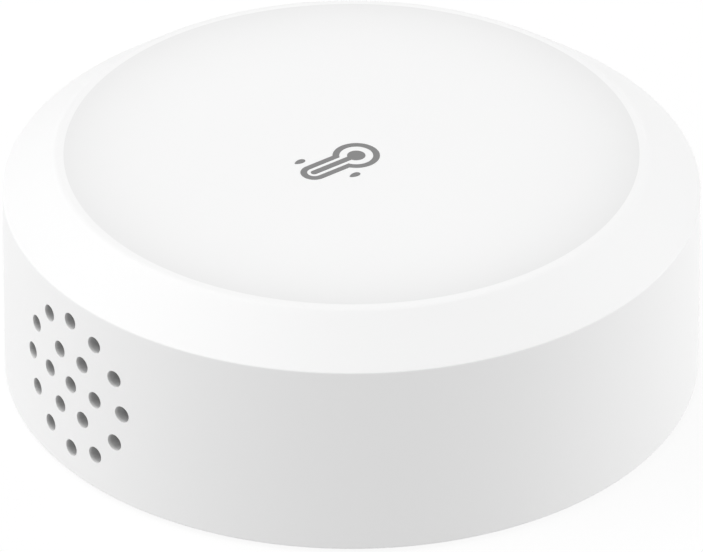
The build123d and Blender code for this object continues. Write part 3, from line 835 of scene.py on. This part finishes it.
# %% Print
def inside_odd(points, loops):
    """True where a ray to the right crosses the loops an odd number of times."""
    crossings = np.zeros(len(points), int)
    for loop in loops:
        for (u0, v0), (u1, v1) in zip(loop, np.roll(loop, -1, axis=0)):
            spans = (points[:, 1] < v0) != (points[:, 1] < v1)
            reach = u0 + (points[:, 1] - v0) * (u1 - u0) / (v1 - v0 if v1 != v0 else 1)
            crossings += spans & (points[:, 0] < reach)
    return crossings % 2 == 1


starts = np.cumsum([0] + [len(loop) for loop in outlines])
rims = [closed_loop(start, len(loop)) for start, loop in zip(starts, outlines)]
spots, sheets = triangulated(np.concatenate(outlines), rims)
sheets = sheets[inside_odd(spots[sheets].mean(1), outlines)]
print_top, print_bottom = dish_level + 0.012, dish_level - 0.006
parts = [(at_level(-spots, print_top), sheets), (at_level(-spots, print_bottom), sheets[:, ::-1])]
parts += [(np.concatenate([at_level(-loop, print_top), at_level(-loop, print_bottom)]),
           grid_faces(2, len(loop))) for loop in outlines]
mark = welded(joined("thermometer_mark", parts))
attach(mark, "housing")

# %% [markdown]
# ## Moulded grain
#
# A matt plastic is matt because its mould was eroded by sparks: the surface has a fine grain, a
# tenth of a millimetre across and a few thousandths deep. It also varies softly over centimetres,
# where the melt flowed and where hands have been. One node group makes both, from Object
# coordinates, so the grain has a real size and stays on the piece. A second group marks the edges
# that hands and tables rub: its mask is 1 on a circle about the axis and fades out over a reach.
# Helpers give the place in millimetres, the distance from the axis, and a ramp from 0 to 1.

# %% Places, colours and relief in a node tree
def place_of(tree):
    """Object coordinates in metres, and then x, y and z in millimetres."""
    place = out(add(tree, "TexCoord"), "Object")
    split = add(tree, "SeparateXYZ", {0: scaled(place, 1 / MM)})
    return place, out(split, 0), out(split, 1), out(split, 2)


def combined(x, y, z):
    """Vector of three numbers."""
    return made("CombineXYZ", {0: x, 1: y, 2: z})


def scaled(vector, factor):
    """Vector or colour times a number."""
    return made("VectorMath", {0: vector, "Scale": factor}, operation="SCALE")


def length_of(first, second):
    """Square root of the sum of two squares."""
    return reckon("SQRT", first * first + second * second)


def ramp(value, start, end):
    """0 at the start, 1 at the end, straight between them and level beyond; either way round."""
    return limited((value - start) / (end - start))


def shaded(colour, amount):
    """Colour made darker by an amount between 0 and 1."""
    return scaled(colour, 1.0 - amount)


def mixed(share, first, second):
    """The first colour where the share is 0, the second where it is 1."""
    return made("Mix", {0: share, 6: first, 7: second}, 2, data_type="RGBA")


def noise(place, scale, detail):
    """Soft noise between 0 and 1; every step of detail adds one of half the size."""
    return made("TexNoise", {"Vector": place, "Scale": scale, "Detail": detail}, "Fac")


def bumped(height, depth):
    """Normal of a relief whose depth is in millimetres."""
    return made("Bump", {"Height": height, "Distance": depth * MM}, "Normal")


# %% Grain and rubbed edges
cloud_scale, rub_scale, dish_shade_noise = 70.0, 400.0, 220.0     # noise, in swings per metre
grain, colour, mottle, roughness, size, depth = new_group(
    "Moulded grain", Colour=white(0.9), Mottle=0.02, Roughness=0.5, Size=0.12, Depth=0.002)
place = place_of(grain)[0]
fine = noise(place, 1 / MM / size, 2.0)
broad_swing = (noise(place, cloud_scale, 3.0) - 0.5) * mottle
fine_swing = (fine - 0.5) * mottle
give(grain, Colour=scaled(colour, 1.0 + broad_swing * 2.0 + fine_swing), Normal=bumped(fine, depth),
     Roughness=limited(roughness + broad_swing * 4.0 + fine_swing * 3.0))

rubbed, radius, level, reach = new_group("Rubbed edge", Radius=20.0, Level=10.0, Reach=0.6)
place, x, y, z = place_of(rubbed)
away = length_of(length_of(x, y) - radius, z - level)
give(rubbed, Mask=ramp(away, reach, 0.0) * noise(place, rub_scale, 4.0))
print("groups:", [group.name for group in bpy.data.node_groups])

# %% Moulded plastic
rub_reach, rub_polish, plastic_index = 0.7, 0.12, 1.46


def moulded_plastic(name, colour, roughness, mottle=0.01, size=0.12, depth=0.002, edges=(), painted_shades=()):
    """Matt plastic with grain; each edge is a radius and a level in millimetres where it is rubbed
    smoother, and each painted shade is a group, with its values, that passes the colour on darker."""
    material, tree = new_material(name)
    tint = (*colour, 1.0)
    for group, values in painted_shades:
        tint = use(tree, group, Colour=tint, **values)["Colour"]
    look = use(tree, grain, Colour=tint, Mottle=mottle, Roughness=roughness, Size=size, Depth=depth)
    rough = look["Roughness"]
    for radius, level in edges:
        mask = use(tree, rubbed, Radius=radius, Level=level, Reach=rub_reach)["Mask"]
        rough = limited(rough - mask * rub_polish)
    return coated(material, look, Roughness=rough, IOR=plastic_index)


# %% [markdown]
# ## Painted shade, in the dish and in the vents
#
# Two places of the housing get painted shade: the dish, towards the foot of its rim, and the inside
# of the vents. Each is a group that darkens a colour by a mask. In the dish the mask is the fourth
# power of how far out a point lies, made a little uneven by noise. In the vents it is how deep a
# point lies below the wall's outer face, so the faces of the wall itself stay clean.

# %% Painted shade in the dish and in the vents
dish_shade_start = dish_flat * 0.8
# Painted shade: the dish's colour darkens towards the foot of its rim, a little unevenly.
painted_dish_shade, colour, amount = new_group("Painted shade in the dish", Colour=white(0.9), Amount=0.1)
place, x, y, z = place_of(painted_dish_shade)
radius = length_of(x, y)
in_dish = (radius < dish_radius) * (z > dish_level - roof / 2)
uneven = 0.9 + noise(place, dish_shade_noise, 3.0) * 0.2
give(painted_dish_shade,
     Colour=shaded(colour, ramp(radius, dish_shade_start, dish_radius) ** 4.0 * in_dish * uneven * amount))

# Painted shade: the bores' colour darkens the deeper it lies below the wall's outer face.
painted_vent_shade, colour, amount, reach = new_group("Painted shade in the vents", Colour=white(0.9), Amount=0.4, Reach=0.3)
place, x, y, z = place_of(painted_vent_shade)
deep = outer_radius(z) - length_of(x, y)
group_radius, wall_end = vent_pitch * 2 + vent_radius * 1.2, wall * 0.995
among = (length_of(x, z - vent_level) < group_radius) * (y < 0.0)
give(painted_vent_shade, Colour=shaded(colour, ramp(deep, 0.0, reach) * (deep < wall_end) * among * amount))
# Where the dish's painted shade starts and ends.
print("dust from", round(dish_shade_start, 1), "mm to", round(dish_radius, 2), "mm from the axis")

# %% Plastic of the housing and of the print
# The housing's colour gets painted shade in the dish and in the vents.
housing.data.materials.append(moulded_plastic(
    "housing plastic", (0.90, 0.90, 0.90), 0.5, mottle=0.006, size=0.09, depth=0.0012,
    edges=[(bottom_radius, wall_low), (shoulder_radius, bevel_low), (rim_radius, rim_level)],
    painted_shades=[(painted_dish_shade, {"Amount": 0.095}), (painted_vent_shade, {"Amount": 0.4, "Reach": 0.3})]))
mark.data.materials.append(moulded_plastic("printed ink", (0.20, 0.20, 0.20), 0.45, 0.05, 0.05, 0.0006))

# %% [markdown]
# ## Metal that was rolled, drawn or plated
#
# Most metal parts here are thin sheet. Rolling leaves fine lines in one direction, deep drawing
# leaves rings, and plating adds small cloudy patches. One group makes the lines as stretched
# noise: its coordinates are scaled differently along each axis, so lines run along the axis with
# the smallest scale. The patches are plain noise. Rings use the distance from the axis.

# %% Rolled metal
rolled, colour, roughness, scale, rings, streak, depth = new_group(
    "Rolled metal", Colour=white(0.7), Roughness=0.3, Scale=(40, 40, 40), Rings=0.0, Streak=0.15, Depth=0.001)
_, x, y, z = place_of(rolled)
flat_place, ring_place = combined(x, y, z), combined(length_of(x, y), 0.0, z)
spot = made("Mix", {0: rings, 4: flat_place, 5: ring_place}, 1, data_type="VECTOR")
lines = noise(made("VectorMath", {0: spot, 1: scale}, operation="MULTIPLY"), 1.0, 3.0)
cloudy = (noise(flat_place, 0.5, 2.0) - 0.5) * streak
give(rolled, Colour=shaded(colour, limited(lines * streak + cloudy)), Normal=bumped(lines, depth),
     Roughness=limited(roughness + (lines - 0.5) * streak + cloudy))


def metal(name, colour, roughness, scale=(2, 40, 40), rings=0.0, streak=0.15, depth=0.0008):
    """Bare or plated metal; the scale is per axis, in lines per millimetre."""
    material, tree = new_material(name)
    look = use(tree, rolled, Colour=(*colour, 1.0), Roughness=roughness, Scale=scale, Rings=rings,
               Streak=streak, Depth=depth)
    return coated(material, look, Metallic=1.0)


# %% [markdown]
# ## Pores, threads and tracks
#
# Foam, pressed powder, felt and fired ceramic look alike from afar and differ in their pores: a
# cell pattern gives each pore a middle, and the surface sinks towards it. Cloth is two sets of
# threads that pass over and under each other. Threads are round, so each is half a circle high,
# and the one on top changes at every crossing. A circuit board shows copper tracks under its
# coloured resin as slightly lighter lines, and bare laminate at its cut edge. The half holes in
# the sides of the radio board are lined with gold, where solder joins it to the main board.

# %% Porous stuff
porous, colour, size, depth, contrast = new_group(
    "Pores", Colour=white(0.5), Size=0.3, Depth=0.05, Contrast=0.3)
place, scale = place_of(porous)[0], 1 / MM / size
cells = made("TexVoronoi", {"Vector": place, "Scale": scale, "Randomness": 1.0}, "Distance")
rough = noise(place, scale, 3.0)
pit = limited(1.0 - cells * 1.4)
# Painted shade: each pore's colour is darker towards its middle, where its surface sinks, by the contrast.
give(porous, Colour=shaded(colour, pit * (rough + 0.5) * contrast), Normal=bumped(rough - pit, depth))


def porous_stuff(name, colour, roughness, size, depth, contrast):
    """Foam, powder or felt; the pores' size and depth are in millimetres."""
    material, tree = new_material(name)
    look = use(tree, porous, Colour=(*colour, 1.0), Size=size, Depth=depth, Contrast=contrast)
    return coated(material, look, Roughness=roughness)


# %% Woven threads
thread_pitch, thread_sway, thread_relief = 0.16, 0.3, 0.04
thread_grey, gap_shade = (0.16, 0.16, 0.165), 0.85


def thread(place, other, share, phase):
    """Height of one set of threads: half a circle across each, raised at every second crossing."""
    offset = abs(reckon("FRACT", place) - 0.5) / (share * 0.5)
    bulge = limited(1.0 - offset * offset)
    lift = reckon("COSINE", (reckon("FLOOR", place) + other + phase) * pi) * thread_sway
    return reckon("SQRT", bulge) * (lift + (1 - thread_sway))


weave, across, along, share = new_group("Plain weave", Across=0.0, Along=0.0, Share=0.62)
over = reckon("MAXIMUM", thread(across, along, share, 0.5), thread(along, across, share, -0.5))
give(weave, Height=over, Mask=limited(over * 8.0))

screen_cloth, tree = new_material("screen cloth")
_, x, y, z = place_of(tree)
arc = reckon("ARCTAN2", x, y * -1.0) * (inner_radius(vent_level) / thread_pitch)
look = use(tree, weave, Across=arc, Along=z * (1 / thread_pitch))
# Painted shade: the gaps between the threads are painted darker, by gap_shade.
coated(screen_cloth, {}, Base_Color=shaded(thread_grey, (1.0 - look["Mask"]) * gap_shade),
       Roughness=0.6, Normal=bumped(look["Height"], thread_relief))

# %% Circuit boards
laminate, gold = (0.60, 0.55, 0.33), (0.83, 0.58, 0.28)
track_relief, outline_width = 0.03, 0.03
edge_rough, resin_polish, gold_polish = 0.75, 0.42, 0.4
tracks, colour, pitch, width = new_group("Board", Colour=(0.02, 0.14, 0.06, 1.0), Pitch=1.9, Track=0.16)
_, x, y, z = place_of(tracks)
square = combined(reckon("FLOOR", x / pitch), reckon("FLOOR", y / pitch), 0.0)
wander = made("TexWhiteNoise", {"Vector": square}, "Value")
copper = reckon("MAXIMUM", *[(abs(reckon("FRACT", side / pitch) - 0.5) * pitch < width)
                             * ((wander > low) * (wander < high))
                             for side, low, high in ((x, 0.0, 0.6), (y, 0.4, 1.0))])
facing = made("SeparateXYZ", {0: out(add(tracks, "NewGeometry"), "True Normal")}, "Z")
resin = abs(facing) > 0.7
fibre = noise(combined(x, y, z * 12.0), 1.5, 3.0)
give(tracks, Colour=mixed(resin, scaled(laminate, fibre + 0.4), scaled(colour, 1.0 + copper * 0.7)),
     Height=copper, Resin=resin)


def board(name, colour, pitch, width, plated=None):
    """Solder resist over copper tracks, and bare laminate with glass cloth at the cut edge. Where the
    node of a board with plated cut-outs is named, its upright faces inside its outline are gold."""
    material, tree = new_material(name)
    look = use(tree, tracks, Colour=(*colour, 1.0), Pitch=pitch, Track=width)
    tint, lined, rough = look["Colour"], 0.0, edge_rough - look["Resin"] * resin_polish
    if plated:
        low, high = box_of(plated)
        lined = 1.0 - look["Resin"]
        for side, least, most in zip(place_of(tree)[1:3], low + outline_width, high - outline_width):
            lined = lined * (side > least) * (side < most)
        tint, rough = mixed(lined, tint, (*gold, 1.0)), rough - lined * gold_polish
    return coated(material, {}, Base_Color=tint, Roughness=rough, Metallic=lined,
                  Normal=bumped(look["Height"], track_relief))


# %% [markdown]
# ## Chips with tinned ends
#
# The small parts on a board are soldered by their ends, which are dipped in tin, while the body is
# ceramic or resin. The ends could be pieces of their own, but they are a film of a hundredth of a
# millimetre. A group paints them: it takes the distance from the chip's middle along its long
# side, and past a reach, and below a level, the colour is tin's and the mask makes it metal.

# %% Tinned ends
tin, chip_rough, tin_polish = (0.72, 0.72, 0.73, 1.0), 0.5, 0.18
tinned, colour, axis, middle, reach, top = new_group(
    "Tinned ends", Colour=white(0.5), Axis=(1, 0, 0), Middle=0.0, Reach=0.5, Top=20.0)
_, x, y, z = place_of(tinned)
along = made("VectorMath", {0: combined(x, y, z), 1: axis}, "Value", operation="DOT_PRODUCT")
tip = (abs(along - middle) > reach) * (z < top)
give(tinned, Colour=mixed(tip, colour, tin), Mask=tip)


def chip(name, node, colour, length, turn, tip=0.35, top_share=1.1):
    """Chips of one node: a grained body, and tin on both ends up to a share of the height. The long
    side has its length in millimetres and its turn in degrees from X."""
    material, tree = new_material(name)
    low, high = box_of(node)
    axis = np.array([cos(radians(turn)), sin(radians(turn)), 0])
    body = use(tree, porous, Colour=(*colour, 1.0), Size=0.09, Depth=0.003, Contrast=0.25)
    ends = use(tree, tinned, Colour=body["Colour"], Axis=axis, Middle=(low + high) @ axis / 2,
               Reach=length / 2 - tip, Top=low[2] + top_share * (high - low)[2])
    return coated(material, body, Base_Color=ends["Colour"], Metallic=ends["Mask"],
                  Roughness=chip_rough - ends["Mask"] * tin_polish)


# %% [markdown]
# ## A finish for every piece
#
# Each CAD piece now gets its own stuff. The cover is the housing's plastic from another mould, so
# it is a shade different. The can and cap of the cell are drawn from plated steel and show rings,
# while springs and shields show the rolling lines of their strip. The light's resin lets light
# through, and its grain is only the softness of a cast surface.

# %% Finishes
light_resin, tree = new_material("light resin")
look = use(tree, grain, Colour=(0.90, 0.90, 0.84, 1.0), Mottle=0.04, Roughness=0.12, Size=0.2, Depth=0.0005)
coated(light_resin, look, Transmission_Weight=0.6, IOR=1.5)
cell_steel = metal("cell steel", (0.74, 0.74, 0.75), 0.24, (22, 1, 6), rings=1.0, streak=0.12)
spring = metal("spring strip", (0.78, 0.76, 0.72), 0.28, (3, 45, 45))
tin_sheet = metal("tinned sheet", (0.75, 0.75, 0.76), 0.32, (3, 30, 30), streak=0.2)
chip_black = (0.022, 0.022, 0.024)
cover_plastic = moulded_plastic(
    "cover plastic", (0.885, 0.885, 0.885), 0.46, mottle=0.008, size=0.11, depth=0.0016,
    edges=[(base_radius - base_chamfer, 0.0), (base_radius, base_chamfer), (pad_radius, 0.0)])
cover.data.materials.append(cover_plastic)
dome.data.materials.append(spring)
finishes = {
    "base_cover": cover_plastic,
    "vent_screen": screen_cloth,
    "sensor_gasket": porous_stuff("foam", (0.045, 0.045, 0.048), 0.9, 0.28, 0.08, 0.6),
    "main_board": board("board resin", (0.012, 0.105, 0.040), 1.9, 0.13),
    "radio_module": board("module resin", (0.008, 0.030, 0.085), 0.9, 0.07, plated="radio_module"),
    "board_screws": metal("screw steel", (0.66, 0.66, 0.67), 0.30, (20, 20, 20), streak=0.25),
    "sensor_chip": moulded_plastic("chip resin", chip_black, 0.5, mottle=0.2, size=0.06, depth=0.003),
    "resistors": chip("resistor glass", "resistors", chip_black, 1.6, 90),
    "capacitors": chip("brown ceramic", "capacitors", (0.50, 0.37, 0.22), 1.6, 90),
    "buffer_capacitor": chip("capacitor resin", "buffer_capacitor", (0.03, 0.03, 0.032), 3.5, 0, 0.5, 0.5),
    "status_light": chip("light base", "status_light", (0.80, 0.80, 0.74), 1.6, 70, 0.3),
    "light_lens": light_resin,
    "cell_can": cell_steel, "cell_cap": cell_steel,
    "cell_gasket": moulded_plastic("seal nylon", (0.78, 0.78, 0.74), 0.42, mottle=0.06),
    "cell_cathode": porous_stuff("pressed powder", (0.035, 0.035, 0.036), 0.85, 0.10, 0.02, 0.5),
    "cell_separator": porous_stuff("felt", (0.86, 0.86, 0.82), 0.95, 0.16, 0.03, 0.2),
    "cell_anode": metal("soft metal", (0.62, 0.62, 0.64), 0.45, (6, 6, 6), streak=0.3),
    "battery_holder": moulded_plastic("holder plastic", (0.022, 0.022, 0.023), 0.48, mottle=0.2, depth=0.004),
    "negative_contact": spring, "positive_contact": spring,
    "switch_dome": spring, "switch_terminals": spring,
    "module_shield": tin_sheet, "switch_cover": tin_sheet,
    "module_antenna": metal("plated copper", gold, 0.30, (12, 12, 12)),
    "switch_body": moulded_plastic("switch plastic", (0.02, 0.02, 0.021), 0.42, mottle=0.2, size=0.07),
    "switch_plunger": moulded_plastic("plunger plastic", (0.82, 0.82, 0.79), 0.45, mottle=0.03, size=0.07),
}
for node, finish in finishes.items():
    bpy.data.objects[node].material_slots[0].material = finish
undressed = [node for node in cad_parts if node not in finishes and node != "housing"]
print("finishes:", len(finishes), "nodes; still undressed:", undressed)
